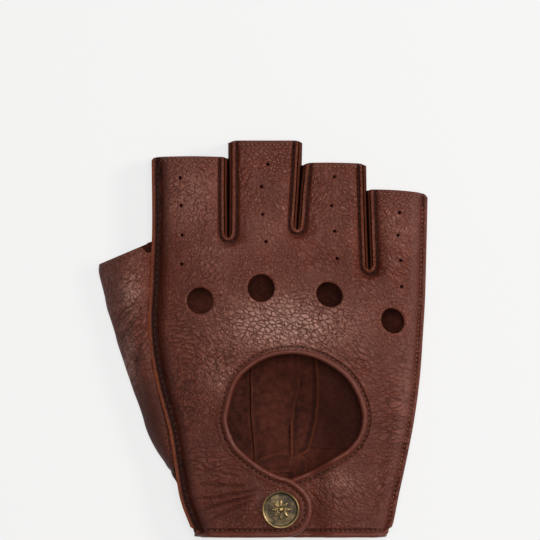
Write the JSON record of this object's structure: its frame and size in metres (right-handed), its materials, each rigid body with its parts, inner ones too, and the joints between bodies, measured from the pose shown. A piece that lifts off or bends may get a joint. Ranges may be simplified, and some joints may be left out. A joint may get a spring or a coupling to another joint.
{
  "type": "fingerless driving glove",
  "caption": "Right-hand fingerless leather driving glove with knuckle holes, vented fingers, a keyhole back and a snap-fastened wrist tab.",
  "frame": {"origin": "centre of the bounding box, on the surface the palm lies on", "axes": "+Y from the wrist to the fingers, +Z from the palm to the back of the hand, thumb towards -X"},
  "size_m": [0.1286, 0.1549, 0.0192],
  "materials": {
    "grain_leather": "pebbled, soft sheen",
    "palm_leather": "smooth, soft sheen",
    "fourchette_leather": "smooth",
    "binding_leather": "smooth, polished by wear",
    "inner_leather": "matt flesh side",
    "antique_brass": "antique, bright rim",
    "spring_steel": "drawn wire",
    "thread": "waxed sewing thread"
  },
  "bodies": {
    "hand": {"back_panel": "grain_leather", "palm_panel": "palm_leather", "fourchette_index_middle": "fourchette_leather", "fourchette_middle_ring": "fourchette_leather", "fourchette_ring_little": "fourchette_leather", "inner_thumb_side_strip": "inner_leather", "inner_centre_panel": "inner_leather", "inner_seam_strip": "inner_leather", "inner_little_side_piece": "inner_leather", "inner_heel_piece": "inner_leather", "keyhole_binding": "binding_leather", "wrist_binding_left": "binding_leather", "wrist_binding_right": "binding_leather", "wrist_binding_palm": "binding_leather", "snap_stud": "antique_brass", "snap_rivet_post": "antique_brass", "thread_keyhole": "thread", "thread_wrist_left": "thread", "thread_wrist_right": "thread", "thread_index_side": "thread", "thread_little_side": "thread", "thread_hem_index": "thread", "thread_hem_middle": "thread", "thread_hem_ring": "thread", "thread_hem_little": "thread", "thread_fourchette_index_middle": "thread", "thread_fourchette_middle_ring": "thread", "thread_fourchette_ring_little": "thread"},
    "closure_tab": {"closure_tab": "grain_leather", "tab_binding": "binding_leather", "thread_tab": "thread", "snap_cap": "antique_brass", "snap_socket": "antique_brass", "snap_ring_spring": "spring_steel"},
    "thumb": {"thumb_stall": "grain_leather", "thread_thumb_hem": "thread"}
  },
  "joints": [
    {"name": "closure_tab_bend", "type": "hinge", "parent": "hand", "child": "closure_tab", "pos_m": [-0.014, -0.0566, 0.01475], "axis": [0, -1, 0], "range_deg": [0, 120]},
    {"name": "thumb_lift", "type": "hinge", "parent": "hand", "child": "thumb", "pos_m": [-0.0446, 0.0382, 0.0072], "axis": [-0.0901, 0.9959, 0], "range_deg": [0, 40]}
  ]
}
